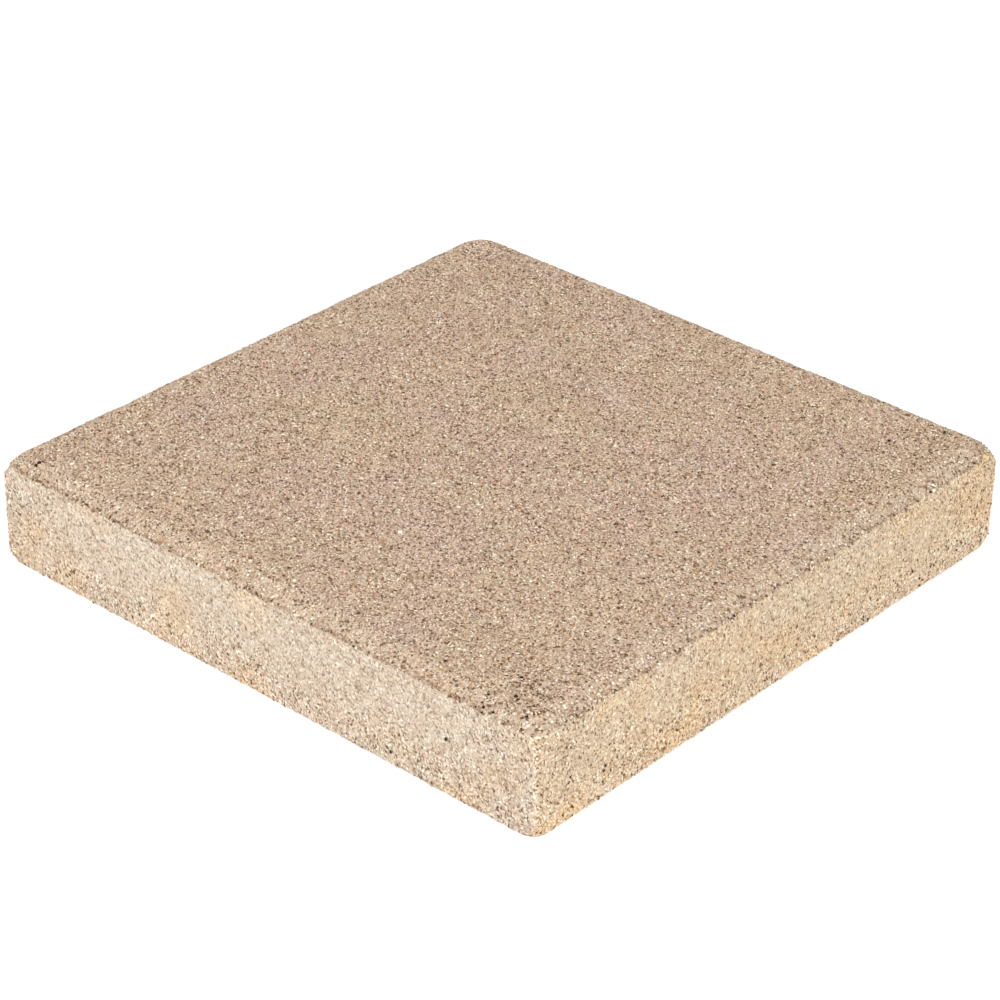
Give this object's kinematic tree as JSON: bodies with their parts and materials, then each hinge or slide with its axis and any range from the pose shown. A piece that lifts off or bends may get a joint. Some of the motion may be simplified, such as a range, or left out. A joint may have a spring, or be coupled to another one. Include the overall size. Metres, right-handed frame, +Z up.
{
  "type": "concrete paving slab",
  "caption": "Square cast-concrete paving slab, a flat sanded top inside a shallow rolled shoulder, upright sides with rounded corners and a flat underside.",
  "frame": {"origin": "centre of the flat underside", "axes": "+Z up through the thickness, +X and +Y square to the sides"},
  "size_m": [0.298, 0.298, 0.0508],
  "materials": {
    "concrete": "matte"
  },
  "bodies": {
    "root": {"paving_slab": "concrete"}
  },
  "joints": []
}
